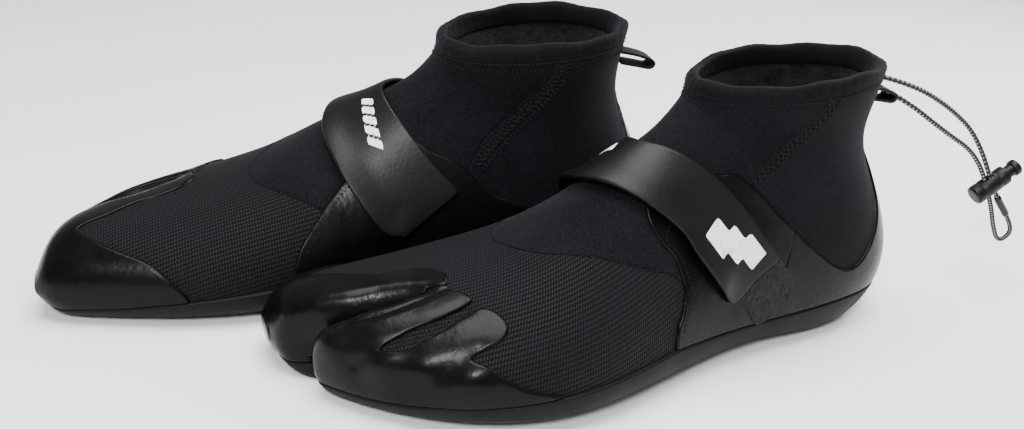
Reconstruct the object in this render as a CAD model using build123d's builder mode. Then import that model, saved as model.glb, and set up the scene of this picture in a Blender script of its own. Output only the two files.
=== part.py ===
from build123d import *
import math
import os

os.makedirs("parts", exist_ok=True)

# A pair of split-toe neoprene boots, each a real construction: rubber sole,
# sock base, sewn neoprene panels, plush lining, rubber toe caps and wraps,
# a drawcord collar and a hook-and-loop strap over the instep.
# The left boot is drawn heel to toe along +X with its outer side at +Y.

# driving dimensions, mm
NEOPRENE = 2.5
LINING = 0.8
RUBBER = 1.2
SKIN = -0.6
FLOOR_Z = 0.6
SOLE_TOP_Z = 3.8
SOCK_TOP_Z = 6.0
FOOTBED_TOP_Z = 9.0
LOOP_TAPE = 0.6
STRAP_IN = 2.6
STRAP_OUT = 4.6
HOOK_IN = 2.1
MARK_OUT = 4.9
COLLAR_BAND = 9.0
COLLAR_OUT = 0.9
COLLAR_IN = -4.4
TUNNEL_R = 1.35
CORD_R = 1.15
CORD_STRAND_R = 1.1
SPLIT_ROOT = (245.0, 5.5)
SPLIT_TIP = (292.0, -3.0)
RIGHT_X = 87.1
RIGHT_Y = -67.4
RIGHT_TURN = -8.8

# Sections of the foot form, toe to collar: top x, top z, bottom x, bottom z,
# outer side y, inner side y, upper and lower roundness, height of the widest
# point as a share from the top.
FORM = [
    (280.5, 20, 280, 10, -13, -32, 2.0, 2.0, 0.50),
    (275, 31, 273, 3, 3, -37, 2.1, 2.6, 0.55),
    (265, 37, 264, 0.5, 19, -40, 2.2, 3.0, 0.58),
    (249, 41, 249, 0, 36, -43, 2.3, 3.2, 0.62),
    (229, 45, 229, 0, 51, -46.5, 2.2, 3.3, 0.65),
    (204, 51, 202, 0, 62.5, -48.5, 2.1, 3.3, 0.67),
    (182, 59, 174, 0, 65, -46.5, 2.0, 3.2, 0.68),
    (164, 70, 143, 0, 59, -41.5, 1.9, 3.0, 0.68),
    (146, 82, 104, 0, 46, -36.5, 1.9, 2.9, 0.67),
    (129, 92, 60, 0, 36.5, -33, 1.95, 2.8, 0.65),
    (118, 99, 16, 1, 32, -32.5, 2.0, 2.6, 0.60),
    (112, 104.5, -3, 19, 30.5, -32.5, 2.0, 2.4, 0.55),
    (108, 109, -2, 44, 30, -32, 2.0, 2.3, 0.52),
    (105.8, 112.2, 10, 71, 30, -31.5, 2.0, 2.2, 0.50),
    (105, 114.6, 18, 93, 31, -32, 2.0, 2.1, 0.50),
    (104.6, 116.6, 17, 113, 34, -33, 2.0, 2.1, 0.50),
    (104, 118.5, 14.5, 126, 34, -32, 2.0, 2.1, 0.50),
]
NOSE_SHIFT = [1.0, 0.6, 0.3, 0.1]
POINTS = 20
FAR = 400.0


def section(row, number, grow):
    """Plane and outline points of one form section, grown outwards."""
    ax, az, bx, bz, yl, ym, upper, lower, wide = row
    grow = grow + SKIN
    shift = NOSE_SHIFT[number] * grow if number < len(NOSE_SHIFT) else 0.0
    length = math.hypot(ax - bx, az - bz)
    ux = (ax - bx) / length
    uz = (az - bz) / length
    half_a = max(length * wide + grow, 1.5)
    half_b = max(length * (1 - wide) + grow, 1.5)
    half_y = max((yl - ym) / 2 + grow, 2.0)
    mx = ax - ux * length * wide + shift
    mz = az - uz * length * wide
    my = (yl + ym) / 2
    plane = Plane(origin=(mx, my, mz), x_dir=(ux, 0, uz), z_dir=(-uz, 0, ux))
    points = []
    for k in range(POINTS):
        angle = 2 * math.pi * k / POINTS
        c = math.cos(angle)
        s = math.sin(angle)
        power = 2 / (upper if c >= 0 else lower)
        reach = half_a if c >= 0 else half_b
        along = math.copysign(abs(c) ** power, c) * reach
        across = math.copysign(abs(s) ** power, s) * half_y
        points.append((along, across))
    return plane, points


def closed_curve(points):
    """Closed spline with its points spread evenly along the parameter."""
    steps = [k / POINTS for k in range(POINTS + 1)]
    return Edge.make_spline([Vector(*p) for p in points], periodic=True, parameters=steps)


def form(grow, past_rim=False):
    """The closed foot form grown by a distance, lofted toe to rim."""
    rows = [section(row, n, grow) for n, row in enumerate(FORM)]
    with BuildPart() as body:
        if past_rim:
            plane, points = rows[-1]
            rows.append((plane.offset(7), points))
        for plane, points in rows:
            with BuildSketch(plane):
                with BuildLine():
                    add(closed_curve(points))
                make_face()
        loft()
    return body.part


def split_slot(grow):
    """Wedge between the big toe and the other toes, as seen from above."""
    rx, ry = SPLIT_ROOT
    tx, ty = SPLIT_TIP
    root = max(1.0 - grow, 0.3)
    tip = max(3.4 - grow, 0.6)
    with BuildPart() as slot:
        with BuildSketch(Plane.XY.offset(-20)):
            with BuildLine():
                Polyline(
                    (rx + grow, ry - root),
                    (tx, ty - tip),
                    (tx, ty + tip),
                    (rx + grow, ry + root),
                    close=True,
                )
            make_face()
        extrude(amount=120)
    return slot.part


def side_prism(points, low_y, high_y):
    """Prism of an XZ outline between two Y values."""
    with BuildPart() as prism:
        with BuildSketch(Plane.XZ.offset(-high_y)):
            with BuildLine():
                Polyline(*points, close=True)
            make_face()
        extrude(amount=high_y - low_y)
    return prism.part


def plan_prism(points, low_z=-30, high_z=200):
    """Prism of an XY outline between two heights."""
    with BuildPart() as prism:
        with BuildSketch(Plane.XY.offset(low_z)):
            with BuildLine():
                Polyline(*points, close=True)
            make_face()
        extrude(amount=high_z - low_z)
    return prism.part


def slab(normal, low, high, low_y, high_y):
    """Space between two parallel planes, limited to a range of Y."""
    size = math.sqrt(sum(n * n for n in normal))
    unit = tuple(n / size for n in normal)
    start = tuple(n * low for n in unit)
    with BuildPart() as layer:
        with BuildSketch(Plane(origin=start, z_dir=unit)):
            Rectangle(2 * FAR, 2 * FAR)
        extrude(amount=high - low)
        with BuildSketch(Plane.XZ.offset(-high_y)):
            Rectangle(2 * FAR, 2 * FAR)
        extrude(amount=high_y - low_y, mode=Mode.INTERSECT)
    return layer.part


def keep(solid, *regions):
    """The part of a solid inside every region."""
    with BuildPart() as piece:
        add(solid)
        for region in regions:
            add(region, mode=Mode.INTERSECT)
    return piece.part


def cut(solid, *tools):
    """A solid with the tools taken away."""
    with BuildPart() as piece:
        add(solid)
        for tool in tools:
            add(tool, mode=Mode.SUBTRACT)
    return piece.part


def split_form(grow, past_rim=False):
    return cut(form(grow, past_rim), split_slot(grow))


# ---------------------------------------------------------------- regions
SOLE_EDGE = [
    (300, 17), (270, 16), (245, 13.5), (212, 12), (184, 12.5), (158, 14),
    (113, 16), (78, 16.5), (50, 17.5), (24, 19), (-30, 20),
]
under_edge = side_prism(SOLE_EDGE + [(-30, -40), (300, -40)], -200, 200)
over_floor = plan_prism([(-100, -200), (400, -200), (400, 200), (-100, 200)], FLOOR_Z, 200)
over_sole = plan_prism([(-100, -200), (400, -200), (400, 200), (-100, 200)], SOLE_TOP_Z, 200)
over_sock = plan_prism([(-100, -200), (400, -200), (400, 200), (-100, 200)], SOCK_TOP_Z, 200)
over_footbed = plan_prism([(-100, -200), (400, -200), (400, 200), (-100, 200)], FOOTBED_TOP_Z, 200)

rim = FORM[-1]
rim_length = math.hypot(rim[0] - rim[2], rim[1] - rim[3])
rim_x = (rim[0] - rim[2]) / rim_length
rim_z = (rim[1] - rim[3]) / rim_length
rim_plane = Plane(origin=(rim[0], 0, rim[1]), x_dir=(rim_x, 0, rim_z), z_dir=(-rim_z, 0, rim_x))
with BuildPart() as collar_box:
    with BuildSketch(rim_plane.offset(-COLLAR_BAND)):
        Rectangle(2 * FAR, 2 * FAR)
    extrude(amount=60)
collar_space = collar_box.part

forefoot_space = plan_prism([
    (320, -90), (320, 90), (112, 90), (114, 56), (134, 43), (159, 35),
    (177, 18), (189, 4), (191, -8), (184, -18), (168, -29), (151, -37),
    (142, -52), (140, -90),
])
quarter_space = side_prism([
    (50, 140), (55, 112), (71, 91), (96, 57), (112, 32), (122, -20), (-60, -20), (-60, 140),
], -200, 200)
outer_half = plan_prism([(-100, 0), (400, 0), (400, 200), (-100, 200)])
inner_half = plan_prism([(-100, 0), (400, 0), (400, -200), (-100, -200)])

big_toe_space = plan_prism([
    (320, -8), (245, 5.5), (217, 14), (216, 9), (228, -9), (229, -19), (241, -21),
    (254, -25), (232, -41), (220, -47), (208, -90), (320, -90),
])
lesser_toe_space = plan_prism([
    (320, -8), (245, 5.5), (218, 16), (209, 26), (211, 32), (224, 35), (209, 46),
    (201, 52), (199, 60), (190, 90), (320, 90),
])
heel_space = side_prism([
    (77, -20), (76, 14), (71, 28), (65, 43), (46, 33), (31, 33), (26, 52),
    (23, 70), (25, 84), (-40, 84), (-40, -20),
], -200, 200)
outer_wrap_space = side_prism([
    (77, -20), (76, 14), (71, 28), (66, 44), (75, 58), (78, 70), (83, 79), (92, 83),
    (109, 86), (121, 85), (131, 77), (132, 64), (119, 50), (114, 24), (112, -20),
], 0.2, 200)
inner_wrap_space = side_prism([
    (77, -20), (76, 14), (73, 32), (83, 52), (97, 66), (111, 74), (135, 72), (148, 61),
    (156, 51), (169, 33), (176, -20),
], -200, -0.2)
loop_space = side_prism([
    (99, 40), (88, 52), (74, 58), (60, 44), (52, 28), (58, 19), (90, 19),
], 0.2, 200)
OUTER_NORMAL = (0.609, 0.639, -0.469)
INNER_NORMAL = (0.859, -0.367, -0.358)
flap_space = keep(
    slab(OUTER_NORMAL, 39.0, 66.5, 0.35, 200),
    side_prism([(220, -20), (220, 200), (-60, 200), (-60, 99.4)], -1, 200),
)
base_space = keep(
    slab(INNER_NORMAL, 78.0, 113.0, -200, -0.35),
    side_prism([(200, -19.3), (200, 200), (-60, 200), (-60, 170.5)], -200, 1),
)
hook_space = keep(
    slab(OUTER_NORMAL, 43.0, 63.0, 10, 200),
    side_prism([(220, -18.5), (220, 8), (-60, 128), (-60, 101)], -1, 200),
)

# ---------------------------------------------------------------- the forms
outer = split_form(0)
rubber_outer = split_form(RUBBER)
neoprene_inner = split_form(-NEOPRENE, True)
cavity = split_form(-NEOPRENE - LINING, True)

skin_layer = cut(rubber_outer, outer)
neoprene_layer = cut(outer, neoprene_inner)
lining_layer = cut(neoprene_inner, cavity)

# ---------------------------------------------------------------- pieces
pieces = {}


def piece(name, solid):
    solid.label = name
    pieces[name] = solid
    print(name, round(solid.volume, 1), len(solid.solids()))


sole_body = cut(keep(rubber_outer, over_floor, under_edge), keep(outer, over_sole))
with BuildPart() as sole:
    add(sole_body)
    for n in range(9):
        with BuildSketch(Plane.XY.offset(FLOOR_Z)):
            with Locations((165 + 11 * n, 5)):
                Rectangle(1.6, 58 - 2.5 * abs(n - 3))
        extrude(amount=1.0, mode=Mode.SUBTRACT)
    for n in range(5):
        with BuildSketch(Plane.XY.offset(FLOOR_Z)):
            with Locations((22 + 11 * n, 0)):
                Rectangle(1.6, 34)
        extrude(amount=1.0, mode=Mode.SUBTRACT)
piece("outsole", sole.part)
piece("sock_base", cut(keep(outer, over_sole), over_sock))
piece("footbed", cut(keep(neoprene_inner, over_sock), over_footbed))

upper_layer = cut(keep(neoprene_layer, over_sock), collar_space)
piece("forefoot_panel", keep(upper_layer, forefoot_space))
quarters = cut(keep(upper_layer, quarter_space), forefoot_space)
piece("outer_quarter", keep(quarters, outer_half))
piece("inner_quarter", keep(quarters, inner_half))
piece("instep_panel", cut(upper_layer, forefoot_space, quarter_space))
piece("lining", cut(keep(lining_layer, over_footbed), collar_space))

rubber_skin = cut(skin_layer, under_edge)
piece("big_toe_cap", keep(rubber_skin, big_toe_space))
piece("lesser_toe_cap", keep(rubber_skin, lesser_toe_space))
piece("heel_counter", keep(rubber_skin, heel_space))
piece("outer_wrap", keep(rubber_skin, outer_wrap_space))
piece("inner_wrap", keep(rubber_skin, inner_wrap_space))

# collar band with the drawcord tunnel inside
tunnel_plane, tunnel_points = section(FORM[-1], 99, -1.7)
with BuildPart() as tunnel:
    with BuildLine(tunnel_plane.offset(-4.4)) as tunnel_line:
        Spline(*tunnel_points, periodic=True)
    with BuildSketch(Plane(origin=tunnel_line.line @ 0, z_dir=tunnel_line.line % 0)):
        Circle(TUNNEL_R)
    sweep()
with BuildPart() as ring_cord:
    with BuildLine(tunnel_plane.offset(-4.4)) as ring_line:
        Spline(*tunnel_points, periodic=True)
    with BuildSketch(Plane(origin=ring_line.line @ 0, z_dir=ring_line.line % 0)):
        Circle(CORD_STRAND_R)
    sweep()
collar_solid = keep(form(COLLAR_OUT), collar_space)
collar_bore = keep(form(COLLAR_IN, True), collar_space)
with BuildPart() as cord_exit:
    with BuildSketch(Plane.XY.offset(112)):
        with Locations((14.6, 0)):
            Rectangle(6.4, 6.4)
    extrude(amount=9.4)
piece("collar", cut(collar_solid, collar_bore, tunnel.part, cord_exit.part))
piece("tunnel_cord", ring_cord.part)

# strap: sewn inner half, free outer half with hook tape, loop tape below it
loop_layer = cut(form(RUBBER + LOOP_TAPE), form(RUBBER))
piece("loop_tape", keep(loop_layer, loop_space))
strap_layer = cut(form(STRAP_OUT), form(STRAP_IN))
piece("strap_base", keep(strap_layer, base_space))
piece("strap_flap", keep(strap_layer, flap_space))
hook_layer = cut(form(STRAP_IN), form(HOOK_IN))
piece("hook_tape", keep(hook_layer, hook_space))

# plain decorative marks: a stepped badge outside, a plain stripe inside
mark_layer = cut(form(MARK_OUT), form(STRAP_OUT))
badge_space = side_prism([
    (112, 62), (104, 68), (99, 62), (96, 64.5), (91, 58), (88, 60.5), (80, 51),
    (88, 45), (93, 51), (96, 48.5), (101, 54.5), (104, 52),
], 10, 200)
piece("outer_mark", keep(mark_layer, badge_space))
stripe_space = keep(
    slab(INNER_NORMAL, 84.0, 107.0, -15, -9),
    plan_prism([(60, -60), (200, -60), (200, 0), (60, 0)], 55, 120),
)
piece("inner_mark", keep(mark_layer, stripe_space))

# pull tab sewn under the rear of the collar
with BuildPart() as tab:
    with BuildSketch(Plane.XZ.offset(-5.5)):
        with BuildLine():
            Polyline(
                (19.5, 112.5), (2.0, 108.0), (0.5, 105.2), (2.6, 103.6), (19.5, 107.0),
                close=True,
            )
        make_face()
    extrude(amount=11)
    add(form(0.05), mode=Mode.SUBTRACT)
piece("pull_tab", tab.part)

# ---------------------------------------------------------------- cord and lock (left boot only)
LOCK_X = -72.0
LOCK_Z = 54.0
DOWN = (-0.527, -0.850)
REAR = (-0.850, 0.527)
LEG_GAP = 1.6


def at(s, t):
    """Point s mm down the cord through the lock and t mm along its barrel."""
    x = LOCK_X + s * DOWN[0] + t * REAR[0]
    z = LOCK_Z + s * DOWN[1] + t * REAR[1]
    return (x, 0, z)


ROUTE = [
    (16.0, 0, 117.0),
    (-9.0, 0, 110.8),
    (-35.0, 0, 97.8),
    at(-31, LEG_GAP),
    at(8, LEG_GAP),
    at(25, 4.6),
    at(36, 4.6),
    at(36, -4.6),
    at(25, -4.6),
    at(8, -LEG_GAP),
    at(-22, -LEG_GAP),
    (-35.0, 0, 85.6),
    (-9.0, 0, 102.5),
    (16.0, 0, 114.0),
]


def bend_radii(route):
    """Bend radius at each inner corner, from its shorter run and its turn."""
    radii = []
    for a, b, c in zip(route, route[1:], route[2:]):
        one = [b[i] - a[i] for i in range(3)]
        two = [c[i] - b[i] for i in range(3)]
        la = math.sqrt(sum(v * v for v in one))
        lb = math.sqrt(sum(v * v for v in two))
        dot = sum(one[i] * two[i] for i in range(3)) / la / lb
        turn = math.acos(max(-1.0, min(1.0, dot)))
        radii.append(min(0.45 * min(la, lb) / math.tan(turn / 2), 30.0))
    return radii


radii = bend_radii(ROUTE)
print("cord bend radii", [round(r, 1) for r in radii])
with BuildPart() as cord:
    with BuildLine() as cord_line:
        FilletPolyline(*ROUTE, radius=radii)
    with BuildSketch(Plane(origin=cord_line.line @ 0, z_dir=cord_line.line % 0)):
        Circle(CORD_R)
    sweep()
cord_length = sum(edge.length for edge in cord_line.edges())
section_volume = math.pi * CORD_R ** 2 * cord_length
print("cord length", round(cord_length, 1), "volume", round(cord.part.volume, 1), round(section_volume, 1))

lock_origin = at(0, 0)
barrel = Plane(origin=lock_origin, x_dir=(DOWN[0], 0, DOWN[1]), z_dir=(REAR[0], 0, REAR[1]))
cord_way = Plane(origin=lock_origin, x_dir=(REAR[0], 0, REAR[1]), z_dir=(DOWN[0], 0, DOWN[1]))
BARREL_R = 4.8
BARREL_HALF = 10.0
BORE_R = 3.25
STEM_R = 3.2
PRESS = 2.5
with BuildPart() as lock_body:
    with BuildSketch(barrel.offset(-BARREL_HALF)):
        Circle(BARREL_R)
    extrude(amount=2 * BARREL_HALF)
    fillet(lock_body.edges().filter_by(GeomType.CIRCLE), 1.0)
    with BuildSketch(barrel.offset(-8.0)):
        Circle(BORE_R)
    extrude(amount=20, mode=Mode.SUBTRACT)
    with BuildSketch(cord_way.offset(-8)):
        SlotOverall(6.4, 3.0)
    extrude(amount=16, mode=Mode.SUBTRACT)
with BuildPart() as plunger:
    with BuildSketch(barrel.offset(-5.0)):
        Circle(STEM_R)
    extrude(amount=19.2)
    with BuildSketch(barrel.offset(14.2)):
        Circle(4.1)
    extrude(amount=3.4)
    fillet(plunger.edges().filter_by(GeomType.CIRCLE).sort_by(Axis(lock_origin, (REAR[0], 0, REAR[1])))[-1], 1.2)
    with BuildSketch(cord_way.offset(-8)):
        with Locations((PRESS / 2, 0)):
            Rectangle(6.4 + PRESS, 3.0)
    extrude(amount=16, mode=Mode.SUBTRACT)
with BuildPart() as spring:
    with BuildLine():
        Helix(pitch=0.9, height=2.4, radius=2.2, center=at(0, -7.7), direction=(REAR[0], 0, REAR[1]))
    spring_line = spring.pending_edges[0]
    with BuildSketch(Plane(origin=spring_line @ 0, z_dir=spring_line % 0)):
        Circle(0.25)
    sweep()
sleeve_start = at(8, LEG_GAP)
sleeve_end = at(25, 4.6)
sleeve_dir = (sleeve_end[0] - sleeve_start[0], 0, sleeve_end[2] - sleeve_start[2])
with BuildPart() as sleeve:
    with BuildSketch(Plane(origin=sleeve_start, z_dir=sleeve_dir).offset(1.0)):
        Circle(1.75)
        Circle(CORD_R + 0.05, mode=Mode.SUBTRACT)
    extrude(amount=14.0)

# ---------------------------------------------------------------- place and write
all_left = dict(pieces)
right_pose = Location((RIGHT_X, RIGHT_Y, 0), (0, 0, RIGHT_TURN))
placed = {}
for name, solid in pieces.items():
    placed["left_" + name] = solid
    placed["right_" + name] = right_pose * mirror(solid, about=Plane.XZ)
lo = [min(tuple(s.bounding_box().min)[i] for s in placed.values()) for i in range(3)]
hi = [max(tuple(s.bounding_box().max)[i] for s in placed.values()) for i in range(3)]
placed["left_drawcord"] = cord.part
placed["left_lock_body"] = lock_body.part
placed["left_lock_plunger"] = plunger.part
placed["left_lock_spring"] = spring.part
placed["left_splice_sleeve"] = sleeve.part
home = Location((-(lo[0] + hi[0]) / 2, -(lo[1] + hi[1]) / 2, -FLOOR_Z))
print("row origin in boot coordinates", (lo[0] + hi[0]) / 2, (lo[1] + hi[1]) / 2, FLOOR_Z)
print("row size", [hi[i] - lo[i] for i in range(3)])
for name, solid in placed.items():
    moved = home * solid
    moved.label = name
    export_step(moved, "parts/" + name + ".step")
print("written", len(placed))
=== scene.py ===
import math
import random

import bpy
import numpy as np
from mathutils import Matrix, Vector
from mathutils.bvhtree import BVHTree


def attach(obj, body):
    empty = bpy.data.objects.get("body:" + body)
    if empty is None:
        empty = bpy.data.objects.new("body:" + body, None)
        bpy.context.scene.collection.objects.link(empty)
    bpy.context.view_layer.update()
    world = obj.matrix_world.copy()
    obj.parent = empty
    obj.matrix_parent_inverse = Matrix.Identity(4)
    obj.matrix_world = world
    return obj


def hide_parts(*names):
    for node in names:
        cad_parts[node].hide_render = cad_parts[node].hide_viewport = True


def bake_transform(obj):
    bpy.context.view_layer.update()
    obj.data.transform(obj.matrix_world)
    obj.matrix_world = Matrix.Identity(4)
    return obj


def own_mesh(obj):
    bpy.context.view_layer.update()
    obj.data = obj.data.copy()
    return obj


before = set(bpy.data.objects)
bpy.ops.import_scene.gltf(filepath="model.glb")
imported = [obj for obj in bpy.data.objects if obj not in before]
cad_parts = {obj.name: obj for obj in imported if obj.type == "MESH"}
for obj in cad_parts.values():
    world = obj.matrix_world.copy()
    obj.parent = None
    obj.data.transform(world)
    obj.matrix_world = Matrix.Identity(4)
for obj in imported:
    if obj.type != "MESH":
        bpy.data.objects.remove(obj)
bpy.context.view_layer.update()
random.seed(7)

# Boot coordinates are millimetres: x heel to toe, +y the boot's outer side, z up.
ORIGIN = (182.27, -47.92, 0.6)
RIGHT_X, RIGHT_Y, RIGHT_TURN = 87.1, -67.4, math.radians(-8.8)
SIDES = ("left", "right")
FULL_TURN = 2 * math.pi

# Millimetres: where the neoprene's face lies against the FORM table, thicknesses,
# the gap that keeps layers from sharing a face, and the underside of the sole.
SKIN = -0.6
NEOPRENE = 2.4
RUBBER = 1.2
GAP = 0.02
FLOOR_Z = 0.6

CORD_LENGTH, CORD_DIAMETER = 0.2993, 0.0023

# The foot form. Each row is one section: top x, z and bottom x, z of its axis,
# outer y, inner y, roundness of the upper and lower half, and where it is widest.
FORM = [
    (280.5, 20, 280, 10, -13, -32, 2.0, 2.0, 0.50),
    (275, 31, 273, 3, 3, -37, 2.1, 2.6, 0.55),
    (265, 37, 264, 0.5, 19, -40, 2.2, 3.0, 0.58),
    (249, 41, 249, 0, 36, -43, 2.3, 3.2, 0.62),
    (229, 45, 229, 0, 51, -46.5, 2.2, 3.3, 0.65),
    (204, 51, 202, 0, 62.5, -48.5, 2.1, 3.3, 0.67),
    (182, 59, 174, 0, 65, -46.5, 2.0, 3.2, 0.68),
    (164, 70, 143, 0, 59, -41.5, 1.9, 3.0, 0.68),
    (146, 82, 104, 0, 46, -36.5, 1.9, 2.9, 0.67),
    (129, 92, 60, 0, 36.5, -33, 1.95, 2.8, 0.65),
    (118, 99, 16, 1, 32, -32.5, 2.0, 2.6, 0.60),
    (112, 104.5, -3, 19, 30.5, -32.5, 2.0, 2.4, 0.55),
    (108, 109, -2, 44, 30, -32, 2.0, 2.3, 0.52),
    (105.8, 112.2, 10, 71, 30, -31.5, 2.0, 2.2, 0.50),
    (105, 114.6, 18, 93, 31, -32, 2.0, 2.1, 0.50),
    (104.6, 116.6, 17, 113, 34, -33, 2.0, 2.1, 0.50),
    (104, 118.5, 14.5, 126, 34, -32, 2.0, 2.1, 0.50),
]

# The camera fitted to the photo, in degrees, pixels and millimetres.
CAMERA_AZIMUTH, CAMERA_HEIGHT, CAMERA_ROLL = 157.36, 24.14, 3.68
CAMERA_TARGET = (176.65, -14.37, 58.49)
CAMERA_DISTANCE = 0.48881
FOCAL_PIXELS, PICTURE_PIXELS, SENSOR = 1142.28, 1024.0, 36.0


# ------------------------------------------------------------ placing
def to_row(points, side):
    """Boot millimetres to the row frame in metres, for either boot."""
    p = np.array(points, float).reshape(-1, 3).copy()
    if side == "right":
        p[:, 1] *= -1
        c, s = math.cos(RIGHT_TURN), math.sin(RIGHT_TURN)
        x, y = p[:, 0].copy(), p[:, 1].copy()
        p[:, 0] = c * x - s * y + RIGHT_X
        p[:, 1] = s * x + c * y + RIGHT_Y
    return (p - np.array(ORIGIN)) / 1000.0


def row_point(point, side="left"):
    return tuple(to_row([point], side)[0])


def add_object(name, data):
    obj = bpy.data.objects.new(name, data)
    bpy.context.scene.collection.objects.link(obj)
    return obj


# ------------------------------------------------------------ camera
def add_camera():
    az, el, roll = (math.radians(a) for a in (CAMERA_AZIMUTH, CAMERA_HEIGHT, CAMERA_ROLL))
    back = Vector((math.sin(az) * math.cos(el), -math.cos(az) * math.cos(el), math.sin(el)))
    right = Vector((math.cos(az), math.sin(az), 0.0))
    up = back.cross(right)
    turned_right = right * math.cos(roll) + up * math.sin(roll)
    turned_up = up * math.cos(roll) - right * math.sin(roll)
    place = Vector(row_point(CAMERA_TARGET)) + back * CAMERA_DISTANCE
    data = bpy.data.cameras.new("camera")
    data.sensor_width = SENSOR
    data.lens = FOCAL_PIXELS / PICTURE_PIXELS * SENSOR
    data.clip_start = 0.01
    camera = add_object("camera", data)
    turn = Matrix((turned_right, turned_up, back)).transposed().to_4x4()
    camera.matrix_world = Matrix.Translation(place) @ turn
    bpy.context.scene.camera = camera


add_camera()


# ------------------------------------------------------------ node helpers
class Nodes:
    """A material's node tree with short calls for the usual nodes."""

    def __init__(self, name):
        self.material = bpy.data.materials.new(name)
        self.material.use_nodes = True
        self.tree = self.material.node_tree
        self.shader = self.tree.nodes["Principled BSDF"]

    def node(self, kind, **settings):
        made = self.tree.nodes.new(kind)
        for key, value in settings.items():
            setattr(made, key, value)
        return made

    def feed(self, socket, value):
        """Gives a socket a plain value or another node's output."""
        if isinstance(value, (int, float, tuple)):
            socket.default_value = value
        else:
            self.tree.links.new(value, socket)

    def made(self, kind, output, **values):
        """A node with its inputs fed by name; low lines stand for spaces."""
        node = self.node(kind)
        for key, value in values.items():
            self.feed(node.inputs[key.replace("_", " ")], value)
        return node.outputs[output]

    def math(self, operation, *values):
        node = self.node("ShaderNodeMath", operation=operation)
        for socket, value in zip(node.inputs, values):
            self.feed(socket, value)
        return node.outputs[0]

    def times(self, a, b):
        return self.math("MULTIPLY", a, b)

    def weighted(self, a, share_a, b, share_b):
        return self.math("ADD", self.times(a, share_a), self.times(b, share_b))

    def wave(self, value, pitch):
        return self.math("SINE", self.times(value, FULL_TURN / pitch))

    def noise(self, vector, scale, detail=3.0, rough=0.55):
        return self.made("ShaderNodeTexNoise", "Fac", Vector=vector, Scale=scale,
                         Detail=detail, Roughness=rough)

    def ramp(self, value, low, high, out_low=0.0, out_high=1.0):
        return self.made("ShaderNodeMapRange", "Result", Value=value, From_Min=low, From_Max=high,
                         To_Min=out_low, To_Max=out_high)

    def mix(self, factor, a, b):
        node = self.node("ShaderNodeMix", data_type="RGBA")
        for socket, value in ((0, factor), (6, (*a, 1.0)), (7, (*b, 1.0))):
            self.feed(node.inputs[socket], value)
        return node.outputs[2]

    def bumps(self, *layers):
        """Bump layers, each (height, distance in metres, strength), one over the other."""
        normal = None
        for height, distance, strength in layers:
            values = {"Height": height, "Distance": distance, "Strength": strength}
            if normal is not None:
                values["Normal"] = normal
            normal = self.made("ShaderNodeBump", "Normal", **values)
        return normal

    def place(self):
        return self.node("ShaderNodeTexCoord").outputs["Object"]

    def split(self, vector):
        apart = self.node("ShaderNodeSeparateXYZ")
        self.feed(apart.inputs[0], vector)
        return apart.outputs[0], apart.outputs[1]

    def surface(self):
        """Surface coordinates in millimetres: along the foot, and round it."""
        return self.split(self.node("ShaderNodeUVMap", uv_map="surface").outputs["UV"])

    def finish(self, color, rough, normal=None, specular=0.5, sheen=None):
        """Feeds the shader. sheen is (weight, roughness, tint)."""
        values = {"Base Color": color, "Roughness": rough, "Specular IOR Level": specular}
        if normal is not None:
            values["Normal"] = normal
        if sheen:
            values["Sheen Weight"], values["Sheen Roughness"] = sheen[:2]
            values["Sheen Tint"] = (*sheen[2], 1.0)
        for key, value in values.items():
            self.feed(self.shader.inputs[key], value)
        return self.material


def make_jersey(name, dark, light, knit):
    m = Nodes(name)
    u, w = m.surface()
    weave = m.times(m.wave(u, knit), m.wave(w, knit * 0.8))
    place = m.place()
    fuzz = m.noise(place, 900.0, 4.0)
    cloud = m.noise(place, 28.0)
    color = m.mix(m.ramp(m.weighted(fuzz, 0.6, cloud, 0.4), 0.41, 0.60), dark, light)
    normal = m.bumps((weave, 0.00008, 0.7), (fuzz, 0.0003, 0.5), (cloud, 0.0015, 0.25))
    return m.finish(color, 0.82, normal, 0.09, (0.045, 0.45, (0.62, 0.60, 0.70)))


def make_emboss(name, pitch=2.45, lean=0.62):
    """Neoprene face pressed with a fine diamond grid, with painted shade darkening the colour in its grooves.
    """
    m = Nodes(name)
    u, w = m.surface()
    grid = m.times(m.wave(m.math("ADD", u, m.times(w, lean)), pitch),
                   m.wave(m.math("SUBTRACT", u, m.times(w, lean)), pitch))
    pads = m.ramp(grid, -0.25, 0.45)
    place = m.place()
    fuzz = m.noise(place, 1100.0)
    cloud = m.noise(place, 30.0, 2.0)
    # painted shade: the colour follows the pads height, near black in the pressed grooves and lighter on the
    # raised pads; fuzz adds random tone on top
    color = m.mix(m.weighted(pads, 0.75, fuzz, 0.3), (0.0003, 0.0003, 0.0004), (0.0086, 0.0078, 0.0102))
    normal = m.bumps((pads, 0.00042, 1.0), (fuzz, 0.0002, 0.4), (cloud, 0.0012, 0.2))
    return m.finish(color, m.ramp(pads, 0.0, 1.0, 0.85, 0.6), normal, 0.12, (0.02, 0.4, (0.6, 0.6, 0.7)))


def make_rubber(name, dark, light, rough_low, rough_high, ripple, grain, specular):
    m = Nodes(name)
    place = m.place()
    cloud = m.noise(place, 45.0, 4.0)
    fine = m.noise(place, 650.0)
    color = m.mix(m.ramp(cloud, 0.32, 0.68), dark, light)
    rough = m.math("ADD", m.ramp(cloud, 0.3, 0.7, rough_low, rough_high), m.times(fine, 0.06))
    return m.finish(color, rough, m.bumps((cloud, 0.0016, ripple), (fine, 0.00022, grain)), specular)


def make_plush(name):
    m = Nodes(name)
    place = m.place()
    tuft = m.noise(place, 420.0, 5.0, 0.7)
    lay = m.noise(place, 90.0)
    color = m.mix(m.ramp(m.weighted(tuft, 0.6, lay, 0.4), 0.36, 0.62),
                  (0.0014, 0.0015, 0.0013), (0.012, 0.0128, 0.0104))
    normal = m.bumps((tuft, 0.0011, 0.9), (lay, 0.003, 0.35))
    return m.finish(color, 0.95, normal, 0.1, (0.07, 0.5, (0.7, 0.72, 0.66)))


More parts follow.
